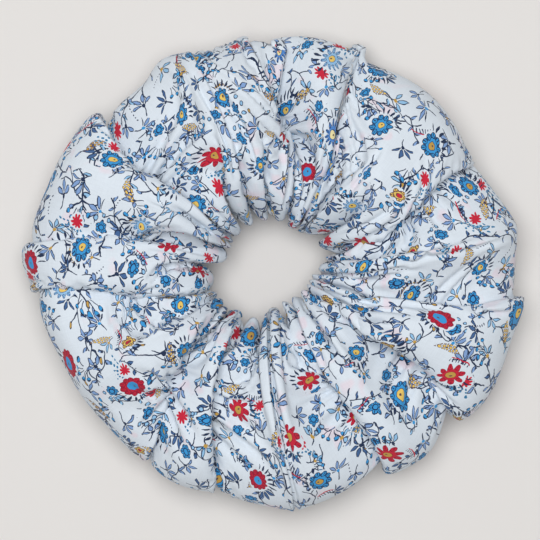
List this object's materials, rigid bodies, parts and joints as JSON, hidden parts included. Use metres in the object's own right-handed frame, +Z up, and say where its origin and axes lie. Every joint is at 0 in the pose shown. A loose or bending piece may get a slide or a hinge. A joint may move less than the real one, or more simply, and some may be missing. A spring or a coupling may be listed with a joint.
{
  "type": "scrunchie",
  "caption": "Gathered cotton hair scrunchie: a printed fabric tube bunched on a flat elastic loop, with a round hair hole.",
  "frame": {"origin": "middle of the cover's box, on the underside that rests on the table", "axes": "+Z up out of the table along the axis of the hair hole, +X to the right across the widest part, +Y away"},
  "size_m": [0.151, 0.1418, 0.037],
  "materials": {
    "printed_cotton": "matte",
    "braided_elastic": "matte",
    "thread": "satin"
  },
  "bodies": {
    "left_half": {"cover_left": "printed_cotton", "elastic_band": "braided_elastic", "elastic_zigzag": "thread", "long_seam_left": "thread"},
    "right_half": {"cover_right": "printed_cotton", "long_seam_right": "thread", "closing_seam": "thread"}
  },
  "joints": [
    {"name": "stretch", "type": "slide", "parent": "left_half", "child": "right_half", "axis": [1, 0, 0], "range_m": [0, 0.06], "stiffness_N_per_m": 60, "deforming": ["elastic_band"]}
  ]
}
